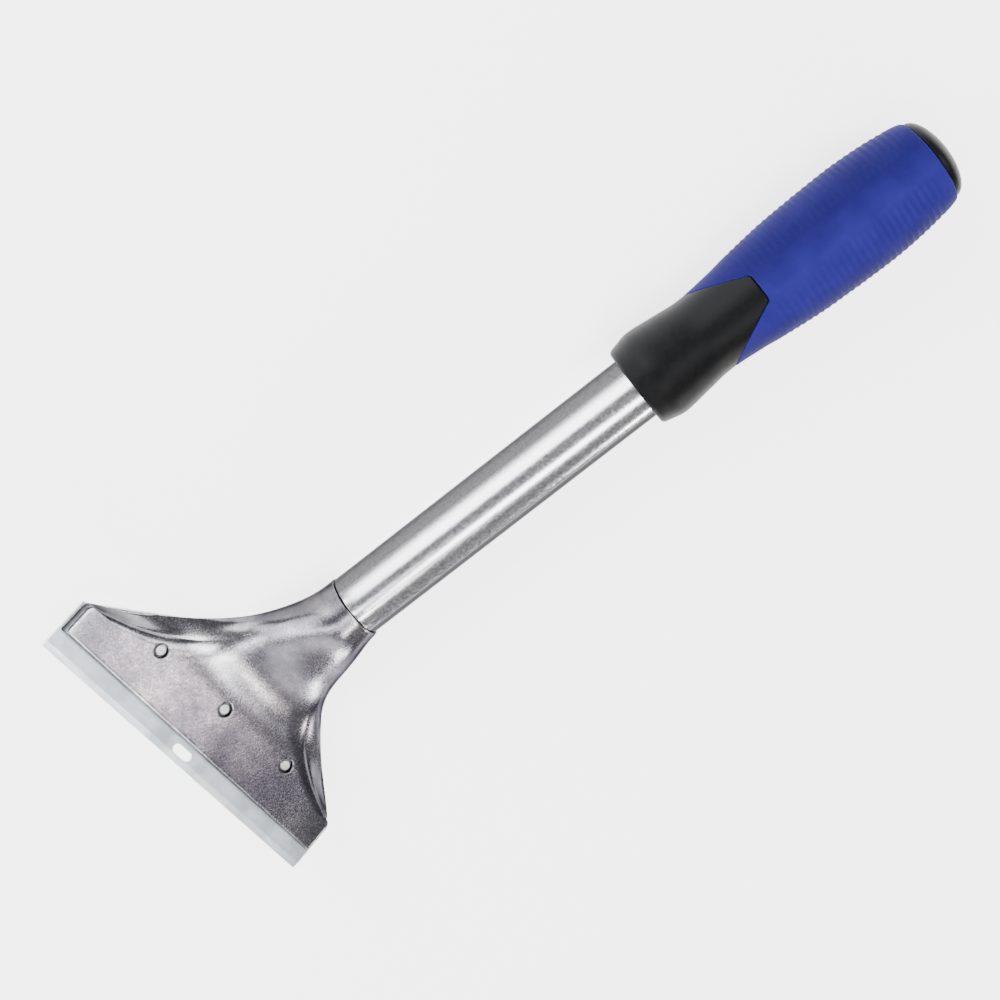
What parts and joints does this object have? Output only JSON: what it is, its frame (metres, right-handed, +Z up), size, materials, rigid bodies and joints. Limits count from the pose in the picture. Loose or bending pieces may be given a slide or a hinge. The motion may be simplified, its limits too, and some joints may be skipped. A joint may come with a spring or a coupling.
{
  "type": "floor scraper",
  "caption": "Long-handled floor scraper with a replaceable clamped blade, a fan-shaped cast head, a plated tube and a soft blue grip on a black handle.",
  "frame": {"origin": "centre of the footprint, on the surface that the tool lies on with its front face up", "axes": "+X across the blade, +Y from the cutting edge to the butt of the handle, +Z up"},
  "size_m": [0.1, 0.2608, 0.0298],
  "materials": {
    "cast_metal": "polished casting with a bright plating",
    "blade_steel": "satin ground steel",
    "plated_tube": "bright plated, slightly mottled",
    "zinc_steel": "zinc plated",
    "pin_steel": "blackened spring steel",
    "black_plastic": "satin moulded plastic",
    "blue_rubber": "matt soft moulding with fine ribs"
  },
  "bodies": {
    "tool": {"head_casting": "cast_metal", "steel_tube": "plated_tube", "spring_pin": "pin_steel", "handle_core": "black_plastic", "soft_grip": "blue_rubber", "end_cap": "black_plastic"},
    "blade": {"blade": "blade_steel"},
    "clamp": {"clamp_plate": "zinc_steel"},
    "screw_left": {"clamp_screw_left": "zinc_steel"},
    "screw_centre": {"clamp_screw_centre": "zinc_steel"},
    "screw_right": {"clamp_screw_right": "zinc_steel"}
  },
  "joints": [
    {"name": "blade_slide", "type": "slide", "parent": "tool", "child": "blade", "axis": [0, -0.9037, 0.4281], "range_m": [0, 0.012]},
    {"name": "clamp_lift", "type": "slide", "parent": "tool", "child": "clamp", "axis": [0, -0.4281, -0.9037], "range_m": [0, 0.006]},
    {"name": "screw_left_out", "type": "slide", "parent": "clamp", "child": "screw_left", "axis": [0, -0.4281, -0.9037], "range_m": [0, 0.006]},
    {"name": "screw_centre_out", "type": "slide", "parent": "clamp", "child": "screw_centre", "axis": [0, -0.4281, -0.9037], "range_m": [0, 0.006]},
    {"name": "screw_right_out", "type": "slide", "parent": "clamp", "child": "screw_right", "axis": [0, -0.4281, -0.9037], "range_m": [0, 0.006]}
  ]
}
